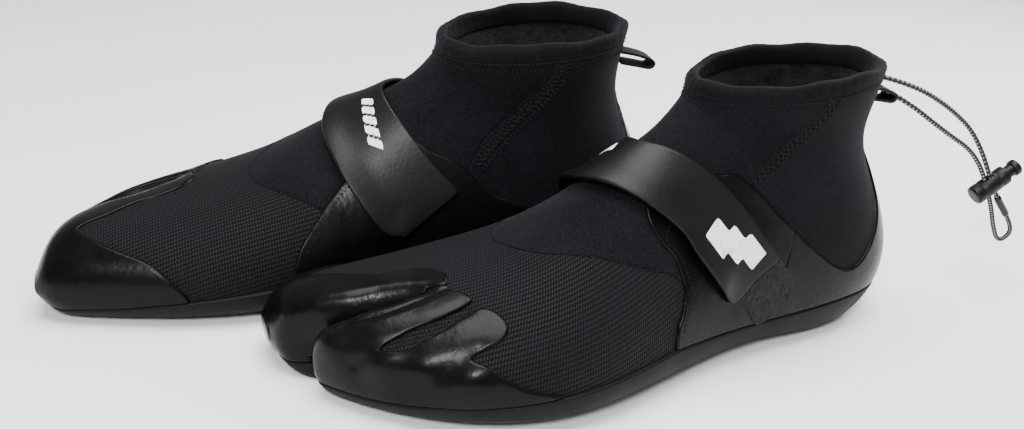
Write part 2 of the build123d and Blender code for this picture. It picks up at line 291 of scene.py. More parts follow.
def make_pile(name):
    m = Nodes(name)
    place = m.place()
    loops = m.made("ShaderNodeTexVoronoi", "Distance", Vector=place, Scale=1100.0)
    tuft = m.noise(place, 500.0, 4.0, 0.7)
    color = m.mix(m.ramp(tuft, 0.35, 0.65), (0.0035, 0.0035, 0.0037), (0.0170, 0.0170, 0.0180))
    normal = m.bumps((loops, 0.0006, 0.8), (tuft, 0.0007, 0.8))
    return m.finish(color, 0.95, normal, 0.15, (0.06, 0.5, (0.7, 0.7, 0.72)))


def make_cord(name, stitch=1.8, strands=4):
    """Woven cord: two crossing yarn sets with light flecks picked out."""
    m = Nodes(name)
    u, w = m.split(m.node("ShaderNodeTexCoord").outputs["UV"])
    along = m.times(u, CORD_LENGTH * 1000 * FULL_TURN / stitch)
    turn = m.times(w, FULL_TURN * strands)
    a = m.math("SINE", m.math("ADD", along, turn))
    b = m.math("SINE", m.math("SUBTRACT", along, turn))
    tick = m.math("GREATER_THAN", m.math("SINE", along), 0.45)
    fleck = m.times(tick, m.math("GREATER_THAN", m.math("SINE", turn), 0.1))
    color = m.mix(fleck, (0.004, 0.004, 0.004), (0.42, 0.42, 0.40))
    return m.finish(color, 0.75, m.bumps((m.math("MAXIMUM", a, b), 0.0003, 0.9)))


def make_white(name):
    m = Nodes(name)
    place = m.place()
    color = m.mix(m.ramp(m.noise(place, 260.0, 4.0), 0.3, 0.5), (0.62, 0.62, 0.61), (0.86, 0.86, 0.85))
    return m.finish(color, 0.55, m.bumps((m.noise(place, 900.0), 0.0001, 0.4)))


def make_steel(name):
    m = Nodes(name)
    m.shader.inputs["Metallic"].default_value = 1.0
    scratch = m.noise(m.place(), 800.0, 2.0)
    return m.finish((0.6, 0.6, 0.62, 1.0), m.ramp(scratch, 0.3, 0.7, 0.22, 0.4))


# name, dark, light, roughness low and high, ripple, grain, specular
RUBBERS = {
    "gloss": ("gloss_rubber", (0.0012, 0.0012, 0.0011), (0.003, 0.003, 0.0028), 0.19, 0.32, 0.45, 0.15, 0.11),
    "sole": ("sole_rubber", (0.003, 0.003, 0.003), (0.0062, 0.0062, 0.0060), 0.46, 0.60, 0.2, 0.5, 0.10),
    "strap": ("strap_rubber", (0.0034, 0.0034, 0.0031), (0.0054, 0.0054, 0.0049), 0.32, 0.42, 0.15, 0.4,
              0.17),
    "tab": ("tab_rubber", (0.002, 0.002, 0.002), (0.004, 0.004, 0.004), 0.5, 0.6, 0.2, 0.4, 0.2),
    "plastic": ("lock_plastic", (0.002, 0.002, 0.0019), (0.004, 0.004, 0.0037), 0.30, 0.42, 0.1, 0.25, 0.2),
    "sleeve": ("shrink_sleeve", (0.001, 0.001, 0.001), (0.002, 0.002, 0.002), 0.12, 0.22, 0.5, 0.1, 0.3),
    "foam": ("foam", (0.010, 0.010, 0.010), (0.018, 0.018, 0.018), 0.8, 0.95, 0.3, 0.8, 0.2),
    "thread": ("thread", (0.0015, 0.0015, 0.0018), (0.006, 0.006, 0.007), 0.55, 0.75, 0.3, 0.6, 0.2),
}
MAT = {key: make_rubber(*values) for key, values in RUBBERS.items()}
MAT["jersey"] = make_jersey("jersey", (0.0010, 0.0009, 0.0014), (0.0054, 0.0047, 0.0070), 0.9)
MAT["collar"] = make_jersey("collar_binding", (0.0010, 0.0009, 0.0013), (0.0040, 0.0037, 0.0049), 1.3)
MAT["emboss"] = make_emboss("embossed_neoprene")
MAT["plush"] = make_plush("plush_lining")
MAT["pile"] = make_pile("loop_pile")
MAT["cord"] = make_cord("speckled_cord")
MAT["white"] = make_white("white_print")
MAT["steel"] = make_steel("spring_steel")


# ------------------------------------------------------------ objects
def add_mesh(name, vertices, faces, material, body, uv, nodes=(), flip=False):
    """A mesh object in the row frame that rides on a body."""
    data = bpy.data.meshes.new(name)
    faces = [tuple(int(i) for i in f) for f in faces]
    if flip:
        faces = [f[::-1] for f in faces]
    data.from_pydata([tuple(v) for v in np.asarray(vertices, float)], [], faces)
    data.validate(clean_customdata=False)
    data.update()
    layer = data.uv_layers.new(name="surface")
    index = np.empty(len(data.loops), int)
    data.loops.foreach_get("vertex_index", index)
    layer.data.foreach_set("uv", np.asarray(uv, float)[index].astype(np.float32).ravel())
    data.polygons.foreach_set("use_smooth", [True] * len(data.polygons))
    data.materials.append(MAT[material])
    obj = add_object(name, data)
    if body:
        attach(obj, body)
    if nodes:
        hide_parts(*nodes)
    return obj


def both(name, mesh, material, body="boot", nodes=()):
    """The same piece on the left boot and, mirrored, on the right one."""
    vertices, faces, uv = mesh
    out = []
    for side in SIDES:
        own = side + "_"
        out.append(add_mesh(
            own + name, to_row(vertices, side), faces, material, own + body if body else None, uv,
            [own + n for n in nodes], flip=side == "right",
        ))
    return out


# ------------------------------------------------------------ the foot form
def cubic(knots, values, where):
    """Natural cubic spline through rows of values."""
    n = len(knots)
    h = np.diff(knots)
    a = np.zeros((n, n))
    r = np.zeros((n,) + values.shape[1:])
    a[0, 0] = a[-1, -1] = 1.0
    for i in range(1, n - 1):
        a[i, i - 1], a[i, i], a[i, i + 1] = h[i - 1], 2 * (h[i - 1] + h[i]), h[i]
        r[i] = 6 * ((values[i + 1] - values[i]) / h[i] - (values[i] - values[i - 1]) / h[i - 1])
    m = np.linalg.solve(a, r.reshape(n, -1)).reshape(r.shape)
    out = []
    for t in where:
        i = min(max(int(np.searchsorted(knots, t)) - 1, 0), n - 2)
        d = h[i]
        p, q = (knots[i + 1] - t) / d, (t - knots[i]) / d
        bend = (p ** 3 - p) * m[i] + (q ** 3 - q) * m[i + 1]
        out.append(p * values[i] + q * values[i + 1] + bend * d * d / 6)
    return np.array(out)


def station_ring(row, angles):
    """One section of the form, drawn at the given angles."""
    ax, az, bx, bz, yl, ym, upper, lower, wide = row
    length = math.hypot(ax - bx, az - bz)
    ux, uz = (ax - bx) / length, (az - bz) / length
    half_a = max(length * wide + SKIN, 1.5)
    half_b = max(length * (1 - wide) + SKIN, 1.5)
    half_y = max((yl - ym) / 2 + SKIN, 2.0)
    mx, mz, my = ax - ux * length * wide, az - uz * length * wide, (yl + ym) / 2
    c, s = np.cos(angles), np.sin(angles)
    power = np.where(c >= 0, 2 / upper, 2 / lower)
    along = np.sign(c) * np.abs(c) ** power * np.where(c >= 0, half_a, half_b)
    across = np.sign(s) * np.abs(s) ** power * half_y
    return np.stack([mx + ux * along, my + across, mz + uz * along], 1)


def spread(pairs):
    """Evenly spaced values inside each (start, end, count) stretch."""
    return np.concatenate([np.linspace(a, b, n, endpoint=False) for a, b, n in pairs])


ANGLES = np.radians(spread([(0, 100, 110), (100, 180, 44), (180, 360, 110)]))
# The split between the toes, seen from above.
SPLIT_LINE = np.array([(298, -7), (281, -1.0), (273.5, 3.3), (267, 6.3), (254, 10.2), (242, 12.0),
    (230, 14.6), (220, 17.5)], float)


def line_distance(points, line):
    """Distance from 2-D or 3-D points to an open line, and the nearest place on it."""
    best = np.full(len(points), 1e9)
    near = np.zeros_like(points)
    for a, b in zip(line[:-1], line[1:]):
        ab = b - a
        t = np.clip(((points - a) @ ab) / (ab @ ab), 0, 1)
        q = a + t[:, None] * ab
        d = np.linalg.norm(points - q, axis=1)
        closer = d < best
        best[closer] = d[closer]
        near[closer] = q[closer]
    return best, near


def vertex_normals(v, f):
    n = np.cross(v[f[:, 1]] - v[f[:, 0]], v[f[:, 2]] - v[f[:, 0]])
    out = np.zeros_like(v)
    for k in range(3):
        np.add.at(out, f[:, k], n)
    return out / np.maximum(np.linalg.norm(out, axis=1, keepdims=True), 1e-9)


# Raised places: centre, height and radius.
TOE_BUMPS = [
    ((262.5, 18.0, 27), 1.9, 6.5), ((247, 35.5, 27), 1.8, 7.0), ((234, 46.5, 26), 1.3, 6.5),
    ((217, 56, 24.5), 2.0, 9.0), ((262, -14, 38), 1.0, 12.0),
]
# Pressed lines: places, depth and half width.
TOE_VALLEYS = [
    ([(216.8, 20.3, 46.7), (228.3, 21.8, 43.3), (240.2, 21.4, 39.9), (251.6, 19.4, 36),
      (260.5, 16.6, 31)], 0.7, 1.6),
    ([(214, 34.5, 44.5), (226, 36, 39.5), (247, 32.3, 30.2), (256, 29, 22)], 1.3, 3.6),
    ([(214, 51, 33), (225, 49, 26), (238, 43, 20)], 0.9, 4.5),
]
# The split's depth, as a share of the way to the core, above and under the toe.
SPLIT_DEPTH = ([219, 228, 236, 246, 256, 262, 270], [0, 0.14, 0.36, 0.56, 0.74, 0.84, 0.90])
SPLIT_DEPTH_UNDER = ([250, 258, 266], [0, 0.5, 0.9])
SPLIT_WIDTH = ([222, 240, 262], [2.6, 3.9, 3.6])
SPLIT_CORE_X, SPLIT_CORE_Z = 249.0, 13.0
UNDER_TOE_Z = 12

# How far the nose bulges past the first section, and where its rings lie.
NOSE = 0.7
NOSE_RINGS = (0.995, 0.96, 0.85, 0.66, 0.4, 0.18)
TOE_STATION, TOE_ROWS, BODY_ROWS = 4, 66, 190


def build_form():
    """The form's vertices, triangles, surface coordinates and last ring."""
    stations = np.array([station_ring(row, ANGLES) for row in FORM])
    steps = np.linalg.norm(np.diff(stations, axis=0), axis=2).mean(1)
    knots = np.concatenate([[0], np.cumsum(steps)])
    toe = knots[TOE_STATION]
    toe_rows = np.linspace(0, toe, TOE_ROWS, endpoint=False)
    where = np.concatenate([toe_rows, np.linspace(toe, knots[-1], BODY_ROWS)])
    rings = cubic(knots, stations, where)
    nose = []
    centre = rings[0].mean(0)
    for f in NOSE_RINGS:
        size = math.sqrt(1 - f * f)
        ring = centre + (rings[0] - centre) * size
        ring[:, 0] += NOSE * f
        nose.append(ring)
    rings = np.concatenate([np.array(nose), rings])
    rows, cols = rings.shape[:2]
    tip = centre + np.array([NOSE, 0, 0])
    v = np.concatenate([rings.reshape(-1, 3), tip[None]])
    index = np.arange(rows * cols).reshape(rows, cols)
    right = np.roll(index, -1, axis=1)
    a, b, c, d = index[:-1].ravel(), right[:-1].ravel(), index[1:].ravel(), right[1:].ravel()
    faces = np.concatenate([np.stack([a, b, d], 1), np.stack([a, d, c], 1),
                            np.stack([np.full(cols, rows * cols), right[0], index[0]], 1)])
    # surface coordinates, in millimetres
    u = np.zeros((rows, cols))
    u[1:] = np.cumsum(np.linalg.norm(np.diff(rings, axis=0), axis=2), axis=0)
    u -= u[len(nose)].mean()
    w = np.zeros((rows, cols))
    hop = np.linalg.norm(np.diff(rings, axis=1), axis=2)
    w[:, 1:] = np.cumsum(hop, axis=1)
    total = w[:, -1] + np.linalg.norm(rings[:, 0] - rings[:, -1], axis=1)
    inner = ANGLES > math.pi
    w[:, inner] -= total[:, None]
    coords = np.stack([u, w], 2).reshape(-1, 2)
    coords = np.concatenate([coords, [[-4.0, 0.0]]])
    return v, faces, coords, rings[-1]


base_v, base_f, base_uv, rim_ring = build_form()
middle = len(base_v) // 2
if np.dot(vertex_normals(base_v, base_f)[middle], base_v[middle] - base_v.mean(0)) < 0:
    base_f = base_f[:, ::-1]


def shape_toes(v, faces):
    """Presses the split and the valleys in and raises the toes."""
    v = v.copy()
    n = vertex_normals(v, faces)
    add = np.zeros(len(v))
    for place, height, radius in TOE_BUMPS:
        d = np.linalg.norm(v - np.array(place), axis=1)
        add += height * np.exp(-(d / radius) ** 2)
    for line, depth, width in TOE_VALLEYS:
        d, _ = line_distance(v, np.array(line, float))
        add -= depth * np.exp(-(d / width) ** 2)
    v += n * add[:, None]
    d, near = line_distance(v[:, :2], SPLIT_LINE)
    x = v[:, 0]
    under = v[:, 2] < UNDER_TOE_Z
    depth = np.where(under, np.interp(x, *SPLIT_DEPTH_UNDER), np.interp(x, *SPLIT_DEPTH))
    pull = depth * np.exp(-(d / np.interp(x, *SPLIT_WIDTH)) ** 2)
    core = np.stack([np.minimum(x, SPLIT_CORE_X), near[:, 1], np.full(len(v), SPLIT_CORE_Z)], 1)
    v += (core - v) * pull[:, None]
    return v


base_v = shape_toes(base_v, base_f)
base_n = vertex_normals(base_v, base_f)
base_tree = BVHTree.FromPolygons([Vector(p) for p in base_v], [tuple(int(i) for i in f) for f in base_f])


def on_form(point):
    """Nearest place on the form with its normal and surface coordinates."""
    hit, _, face, _ = base_tree.find_nearest(Vector(point))
    i, j, k = base_f[face]
    a, b, c = base_v[i], base_v[j], base_v[k]
    p = np.array(hit)
    v0, v1, v2 = b - a, c - a, p - a
    d00, d01, d11, d20, d21 = v0 @ v0, v0 @ v1, v1 @ v1, v2 @ v0, v2 @ v1
    den = max(d00 * d11 - d01 * d01, 1e-12)
    s, t = (d11 * d20 - d01 * d21) / den, (d00 * d21 - d01 * d20) / den
    r = 1 - s - t
    normal = r * base_n[i] + s * base_n[j] + t * base_n[k]
    uv = r * base_uv[i] + s * base_uv[j] + t * base_uv[k]
    return p, normal / np.linalg.norm(normal), uv


def smooth_line(points, count=8, closed=False):
    """Catmull-Rom curve through points."""
    p = np.array(points, float)
    n = len(p)
    out = []
    spans = n if closed else n - 1
    for i in range(spans):
        if closed:
            a, b, c, d = p[(i - 1) % n], p[i], p[(i + 1) % n], p[(i + 2) % n]
        else:
            a, b, c, d = p[max(i - 1, 0)], p[i], p[i + 1], p[min(i + 2, n - 1)]
        for k in range(count):
            t = k / count
            out.append(0.5 * (2 * b + (c - a) * t + (2 * a - 5 * b + 4 * c - d) * t * t
                              + (3 * b - a - 3 * c + d) * t ** 3))
    if not closed:
        out.append(p[-1])
    return np.array(out)


def uv_line(points, count=6, closed=False):
    """A curve given by places on the boot, as surface coordinates."""
    return np.array([on_form(p)[2] for p in smooth_line(points, count, closed)])


def inside_distance(points, outline):
    """Signed distance to a closed 2-D outline, positive inside."""
    x, y = points[:, 0], points[:, 1]
    inside = np.zeros(len(points), bool)
    best = np.full(len(points), 1e9)
    n = len(outline)
    for i in range(n):
        a, b = outline[i], outline[(i + 1) % n]
        ab = b - a
        t = np.clip(((x - a[0]) * ab[0] + (y - a[1]) * ab[1]) / max(ab @ ab, 1e-12), 0, 1)
        best = np.minimum(best, np.hypot(x - a[0] - t * ab[0], y - a[1] - t * ab[1]))
        if a[1] != b[1]:
            inside ^= ((a[1] > y) != (b[1] > y)) & (x < (b[0] - a[0]) * (y - a[1]) / (b[1] - a[1]) + a[0])
    return np.where(inside, best, -best)


# ------------------------------------------------------------ clipping
def insert_level(v, f, data, g, level):
    """Cuts triangles along g = level. data is a list of arrays kept per vertex."""
    s = g - level
    s = np.where(np.abs(s) < 1e-5, 1e-5, s)
    positive = s > 0
    count = positive[f].sum(1)
    whole = (count == 0) | (count == 3)
    mixed = f[~whole]
    if not len(mixed):
        return v, f, data, g
    lone_sign = count[~whole] == 1
    lone = np.argmax(positive[mixed] == lone_sign[:, None], axis=1)
    rows = np.arange(len(mixed))
    a = mixed[rows, lone]
    b = mixed[rows, (lone + 1) % 3]
    c = mixed[rows, (lone + 2) % 3]
    ends = np.concatenate([np.stack([a, b], 1), np.stack([a, c], 1)])
    ends = np.sort(ends, axis=1)
    unique, inverse = np.unique(ends, axis=0, return_inverse=True)
    inverse = inverse.reshape(-1)
    p, q = unique[:, 0], unique[:, 1]
    t = s[p] / (s[p] - s[q])
    base = len(v)

    def extend(array):
        tt = t.reshape((-1,) + (1,) * (array.ndim - 1))
        return np.concatenate([array, array[p] * (1 - tt) + array[q] * tt])

    ab = base + inverse[:len(mixed)]
    ac = base + inverse[len(mixed):]
    pieces = [np.stack(corners, 1) for corners in ([a, ab, ac], [ab, b, c], [ab, c, ac])]
    faces = np.concatenate([f[whole]] + pieces)
    new_g = extend(g)
    new_g[base:] = level
    return extend(v), faces, [extend(d) for d in data], new_g


def compact(v, f, data):
    """Drops the vertices that no face uses."""
    used = np.unique(f)
    remap = np.full(len(v), -1)
    remap[used] = np.arange(len(used))
    return v[used], remap[f], [d[used] for d in data]


def dome(x):
    """A quarter circle from 0 to 1."""
    x = np.clip(x, 0, 1)
    return np.sqrt(np.maximum(0.0, 1 - (1 - x) ** 2))


RIM_STEPS = (0.05, 0.16, 0.36, 0.66, 1.0)


def clip_shell(g, inner, outer, rim, drop=1.0, lift=None, raise_by=None, shape=None):
    """Closed shell over the part of the form where g > 0. inner and outer are
    offsets from the form, rim is how wide the rounded edge is, and drop is the
    share of the thickness that the rounding takes away at the edge. lift moves
    the outer face alone, and raise_by moves the whole shell off the form."""
    near = g > -(rim * 1.05 + 0.5)
    faces = base_f[near[base_f].any(1)]
    v = base_v if raise_by is None else base_v + base_n * raise_by[:, None]
    extra = np.zeros(len(v)) if lift is None else lift
    v, faces, (n, uv, extra, g) = compact(v, faces, [base_n, base_uv, extra, g])
    for level in (0.0,) + tuple(rim * x for x in RIM_STEPS):
        v, faces, (n, uv, extra), g = insert_level(v, faces, [n, uv, extra], g, level)
    faces = faces[g[faces].mean(1) > 0]
    v, faces, (n, uv, extra, g) = compact(v, faces, [n, uv, extra, g])
    n = n / np.linalg.norm(n, axis=1, keepdims=True)
    height = outer - (outer - inner) * drop * (1 - dome(g / rim)) + extra
    top = v + n * height[:, None]
    low = v + n * inner
    if shape:
        top, low = shape(top, low)
    edges = np.concatenate([faces[:, [0, 1]], faces[:, [1, 2]], faces[:, [2, 0]]])
    _, first, count = np.unique(np.sort(edges, axis=1), axis=0, return_index=True, return_counts=True)
    k = len(v)
    shell = [tuple(f) for f in faces] + [tuple(f[::-1] + k) for f in faces]
    shell += [(int(b), int(a), int(a) + k, int(b) + k) for a, b in edges[first[count == 1]]]
    return np.concatenate([top, low]), shell, np.concatenate([uv, uv])


X, Y, Z = base_v[:, 0], base_v[:, 1], base_v[:, 2]
# Surface coordinates well past the boot, and just ahead of the toe.
FAR, AHEAD = 400.0, -60.0
# Height of the sole's edge at places along the boot.
SOLE_EDGE = ([-30, 24, 50, 78, 113, 127, 158, 184, 212, 245, 270, 300],
             [20, 20, 19, 18.5, 19.5, 20.5, 19, 17, 14, 10, 8, 7])
g_sole = np.interp(X, *SOLE_EDGE) - Z
rim_a, rim_b = np.array(FORM[-1][:2], float), np.array(FORM[-1][2:4], float)
rim_u = (rim_a - rim_b) / np.linalg.norm(rim_a - rim_b)
RIM_UP = np.array([-rim_u[1], 0.0, rim_u[0]])
OUTER_RISE = 2.6


def rim_rise(y):
    """The rim stands a little higher on the outer side."""
    return OUTER_RISE * np.clip(y / 30, 0, 1) ** 1.5


g_collar = (base_v - np.array([rim_a[0], 0, rim_a[1]])) @ RIM_UP - rim_rise(Y) + 5.6
# x of the side seam at heights up the boot.
SIDE_SEAM = ([-20, 12, 32, 57, 78, 95, 109, 118, 140], [127, 119, 111, 96, 86, 71.5, 61, 55, 48])
g_quarter = (np.interp(Z, *SIDE_SEAM) - X) * 0.8


def area(*stretches):
    """Distance field of the area inside an outline in surface coordinates."""
    return inside_distance(base_uv, np.concatenate([np.array(s, float) for s in stretches]))


forefoot_rear = uv_line([
    (146, -46, 4), (149, -41, 22), (151, -36, 42.5), (158, -33, 48), (168, -28.2, 52), (180, -19, 54),
    (188, -9, 54.5), (189.5, 3, 55.5), (182, 19.4, 58.3), (173, 29, 60.5), (162, 36.1, 61.1),
    (148, 40.8, 57.7), (138.7, 41.4, 54.6), (127, 40.5, 50), (121.3, 42.5, 43.8), (123.5, 46.3, 34.5),
    (126.9, 49.4, 27), (128, 52, 4),
])
g_fore = area(forefoot_rear, [[forefoot_rear[-1][0], FAR], [AHEAD, FAR], [AHEAD, -FAR],
                              [forefoot_rear[0][0], -FAR]])

big_line = uv_line([
    (212.5, -47, 5), (215, -47, 12), (220.2, -46.9, 19.6), (232.3, -41.4, 29.5), (246, -34.5, 33.5),
    (259, -25, 35.5), (263, -20, 36), (259, -16.5, 38), (252.1, -13, 40), (244.8, -7.6, 41.7),
    (237.5, -3.5, 43.2), (229.6, -2, 44.8), (222.2, 1.4, 46.6), (217, 7, 47.7), (214.5, 13, 48.2),
    (216.3, 18.7, 47.1),
])
split_uv = uv_line([(216.3, 18.7, 47.1), (222, 17.0, 46), (229, 14.8, 44.3), (241.6, 12.1, 41.6),
    (253.4, 10.4, 36), (260, 8, 26), (262, 7, 18)], 5)
g_big = area(big_line, split_uv, [[AHEAD, 20], [AHEAD, -FAR], [big_line[0][0], -FAR]])
# nose and toe tips belong to a cap by side of the split line
side_of_split = Y - np.interp(X, SPLIT_LINE[::-1, 0], SPLIT_LINE[::-1, 1])
g_big = np.where(X > 266, np.minimum(-side_of_split, 30.0), g_big)
lesser_line = uv_line([
    (216.3, 18.7, 47.1), (215.6, 23, 46.6), (212.4, 26, 47), (210.2, 31, 46.1), (213.3, 33.0, 45.0),
    (223.9, 33.8, 40.8), (235.6, 32.9, 36.5), (246.5, 32.2, 30.2), (238.4, 37.9, 31.5),
    (225.1, 38.6, 38.2), (213.4, 36.4, 43.6), (207.4, 37.2, 45.1), (203.0, 42, 44.2),
    (201.3, 48.1, 41.3), (204.5, 51.2, 38.2), (211, 51.1, 35), (216.5, 51.3, 31.6), (210.7, 55.8, 29.2),
    (204.9, 60, 25.9), (199, 62.6, 22.4), (190, 64, 19.5), (180, 65, 17), (176, 66, 8),
], 4)
g_lesser = area(lesser_line, [[lesser_line[-1][0], FAR], [AHEAD, FAR], [AHEAD, 24]], split_uv[::-1])
g_lesser = np.where(X > 262, np.minimum(side_of_split, np.where(g_lesser < 0, 30.0, g_lesser)), g_lesser)
notch = area(uv_line([(247.5, 32.2, 29.9), (236, 32.6, 36.2), (222, 33.8, 41.5), (211, 33.6, 45.5),
    (209, 36.6, 45), (215, 37, 42.8), (226, 38.8, 38), (239, 37.4, 31.6)], 4))
g_lesser = np.minimum(g_lesser, np.where(X > 205, -notch, 99))

# along the split itself both caps follow the split line, half a millimetre apart
by_split = (X > 224) & (np.abs(side_of_split) < 5)
g_big = np.where(by_split, -side_of_split - 0.25, g_big)
g_lesser = np.where(by_split, side_of_split - 0.25, g_lesser)

HEEL_LINE = [(77, 37, 8), (76, 36, 14), (72, 33, 30), (66, 31, 45), (64.5, 31, 58.5),
             (57.8, 31.1, 53.2), (45.3, 31.1, 43.0), (33, 29.5, 35.6), (24, 28, 36.5), (18, 26, 44),
             (14.5, 23, 55), (14.5, 18, 67), (17.5, 12.5, 77), (19, 6, 84), (19.5, 2.6, 86)]
INNER_HEEL_LINE = [(77, 37, 8), (76, 36, 14), (72, 33, 28), (67, 31.5, 40), (64.5, 31.5, 46),
                   (56, 31.3, 42.5), (45.3, 31.1, 39.5)] + HEEL_LINE[7:]


def heel_side(sign):
    """The heel counter on one side, out to the rear centre line."""
    places = HEEL_LINE if sign > 0 else INNER_HEEL_LINE
    line = uv_line([(x, sign * y, z) for x, y, z in places], 5)
    return area(line, [[line[-1][0], sign * FAR], [line[0][0], sign * FAR]])


g_heel = np.maximum(heel_side(1), heel_side(-1))
g_outer_wrap = area(uv_line([
    (128, 52, 6), (126.9, 49.4, 27), (123.9, 46.3, 34.5), (121.6, 42.5, 43.8), (123.7, 39.7, 51.8),
    (125.5, 37.5, 56.7), (131.5, 34.1, 63.7), (135, 29, 71), (133, 23, 79), (122, 18.5, 85),
    (110, 20, 86), (99.6, 22.3, 84.5), (95.4, 23, 84.8), (90, 24.5, 83.2), (84.3, 26.5, 78.4),
    (79.6, 27.8, 74.5), (71.9, 29.6, 66.4),
] + HEEL_LINE[4:0:-1] + [(77, 37, 6)], 5))
g_inner_wrap = area(uv_line([
    (178, -46, 4), (174, -45, 18), (169, -41.6, 33.8), (160, -34, 46), (155, -30, 52.2),
    (148, -25.7, 59.8), (136, -22, 71), (122, -20, 79), (110, -24.4, 72.8), (96.6, -28.1, 66.5),
    (83.5, -31.5, 54.5), (73, -31.5, 49.5), (64.5, -31.5, 46), (67, -31.5, 40), (72, -33, 28),
    (76, -34, 14), (77, -35, 6)], 5))
g_loop = area(uv_line([(99, 39, 38), (84, 32.5, 58), (73, 32.6, 50), (60.3, 33.4, 31.9), (70, 34.8, 24),
    (79.5, 36.6, 17.5), (88, 38, 28)], 3))


# ------------------------------------------------------------ skins, rubber and sole
def seam_dip(line, depth, width):
    d, _ = line_distance(base_uv, line)
    return -depth * np.exp(-(d / width) ** 2)


def over(low_outer, low_inner):
    """Keeps a layer's outer and inner faces above two heights."""
    def shape(outer, inner):
        outer, inner = outer.copy(), inner.copy()
        outer[:, 2] = np.maximum(outer[:, 2], low_outer)
        inner[:, 2] = np.maximum(inner[:, 2], low_inner)
        return outer, inner
    return shape


above_sole, below_collar, over_sock = -g_sole, -g_collar, Z - 5.6
quarter = np.minimum.reduce([g_quarter, -g_fore, below_collar, over_sock])
instep = np.minimum.reduce([-g_fore, -g_quarter, below_collar, over_sock])
SKIN_PANELS = (
    ("forefoot_skin", np.minimum(g_fore, over_sock), "emboss", "forefoot_panel", "neoprene_textured"),
    ("instep_skin", instep, "jersey", "instep_panel", "neoprene"),
    ("outer_quarter_skin", np.minimum(quarter, Y + 0.5), "jersey", "outer_quarter", "neoprene"),
    ("inner_quarter_skin", np.minimum(quarter, -Y - 0.5), "jersey", "inner_quarter", "neoprene"),
)
for name, g, material, node, slot in SKIN_PANELS:
    both(name, clip_shell(g, -NEOPRENE, 0.0, 0.9, 0.28), material, nodes=[node])
lining = clip_shell(np.minimum(-(g_collar - 0.6), Z - 7.5), -NEOPRENE - 1.1, -NEOPRENE - 0.05, 0.5, 0.3)
both("plush_lining", lining, "plush", nodes=["lining"])

finger_lines = [
    uv_line([(216.8, 20.6, 46.7), (228.3, 21.8, 43.3), (240.2, 21.4, 39.9), (251.6, 19.4, 36),
             (258, 17.5, 32.5)], 5),
    uv_line([(218.5, 22.6, 46.1), (229.0, 23.6, 42.6), (240.6, 23.1, 39.2), (250.0, 21.5, 36)], 5),
]
finger_dip = sum(seam_dip(line, 0.55, 0.55) for line in finger_lines)
RUBBER_PANELS = (
    ("big_toe_rubber", g_big, "big_toe_cap", None),
    ("lesser_toe_rubber", g_lesser, "lesser_toe_cap", finger_dip),
    ("heel_rubber", g_heel, "heel_counter", None),
    ("outer_wrap_rubber", g_outer_wrap, "outer_wrap", None),
    ("inner_wrap_rubber", g_inner_wrap, "inner_wrap", None),
)
for name, g, node, dip in RUBBER_PANELS:
    panel = clip_shell(np.minimum(g, above_sole), GAP, RUBBER, 1.0, 1.0, dip)
    both(name, panel, "gloss", nodes=[node])
both("loop_tape_pile", clip_shell(g_loop, RUBBER + GAP, RUBBER + 0.75, 0.5), "pile",
     nodes=["loop_tape"])

# heights of the layers under the foot
SOLE_TOP, SOCK_TOP = FLOOR_Z + 3.2, FLOOR_Z + 5.2
BED_TOP = SOCK_TOP + 2.4
sole = clip_shell(g_sole, GAP, RUBBER + 0.25, 1.1, shape=over(FLOOR_Z, SOLE_TOP))
both("outsole_rubber", sole, "sole", nodes=["outsole"])
sock = clip_shell(7.6 - Z, -2.3, -0.05, 0.6, 0.5, shape=over(SOLE_TOP + 0.05, SOCK_TOP))
both("sock_base_foam", sock, "foam", nodes=["sock_base"])
footbed = clip_shell(np.minimum(8.4 - Z, 268 - X), -5.0, -2.4, 0.6, 0.5, shape=over(SOCK_TOP + 0.05, BED_TOP))
both("footbed_foam", footbed, "foam", nodes=["footbed"])


# ------------------------------------------------------------ strap
strap_outline = [
    (153.5, 1.0, 76.4), (147.8, 13.3, 79.2), (140.3, 21.5, 77.4), (131.5, 27.9, 72.1),
    (122.7, 32.5, 64.7), (116.7, 36.5, 55.6), (105.7, 39.5, 41.8), (99.6, 39.9, 34.6),
    (97.3, 39.2, 32.9), (92.9, 38.2, 34.7), (83.5, 35.1, 41.4), (74.5, 33.2, 46.2), (73.2, 32.6, 49.0),
    (78.7, 31.4, 56.2), (86.3, 28.9, 66.5), (95.4, 25.1, 77.2), (101.8, 22.1, 83.4),
    (110.7, 17.4, 89.6), (118.6, 11.5, 93.0), (125.1, 6, 93.5), (127.8, 0.6, 92.6), (126.5, -8, 89.5),
    (122.5, -15.4, 83.9), (110, -25.8, 68.4), (97.9, -30.4, 55.2), (99.5, -31.5, 53),
    (112, -34.5, 43.5), (122, -36.2, 36.6), (125, -36.3, 36.4), (133.3, -36.1, 39.4),
    (146, -28.6, 56.1), (151.8, -18.2, 66.5), (154.2, -8, 72.8),
]


g_strap = area(uv_line(strap_outline, 5, closed=True))
# the strap's front edge stands off the boot the most
front_d, _ = line_distance(base_uv, uv_line(strap_outline[-5:] + strap_outline[:7], 4))
STRAP_LIFT = 2.2 * np.exp(-(front_d / 8.0) ** 2)
STRAP_LOW, STRAP_HIGH = 1.5, 3.8

strap = clip_shell(g_strap, STRAP_LOW, STRAP_HIGH, 0.9, 0.4, raise_by=STRAP_LIFT)
straps = both("strap_rubber", strap, "strap", None, ["strap_base", "strap_flap"])
for obj, side in zip(straps, SIDES):
    row_point((146, -4, 85), side)
    row_point((146, 5, 85), side)
    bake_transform(obj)

g_hook = np.minimum(g_strap - 4.0, 74 - Z)
v, f, uv = clip_shell(g_hook, STRAP_LOW - 0.62, STRAP_LOW - 0.02, 0.3, 0.4, raise_by=STRAP_LIFT)
outer_half = [face for face in f if v[list(face)][:, 1].min() > 8]
both("hook_pile", (v, outer_half, uv), "pile", "strap", ["hook_tape"])

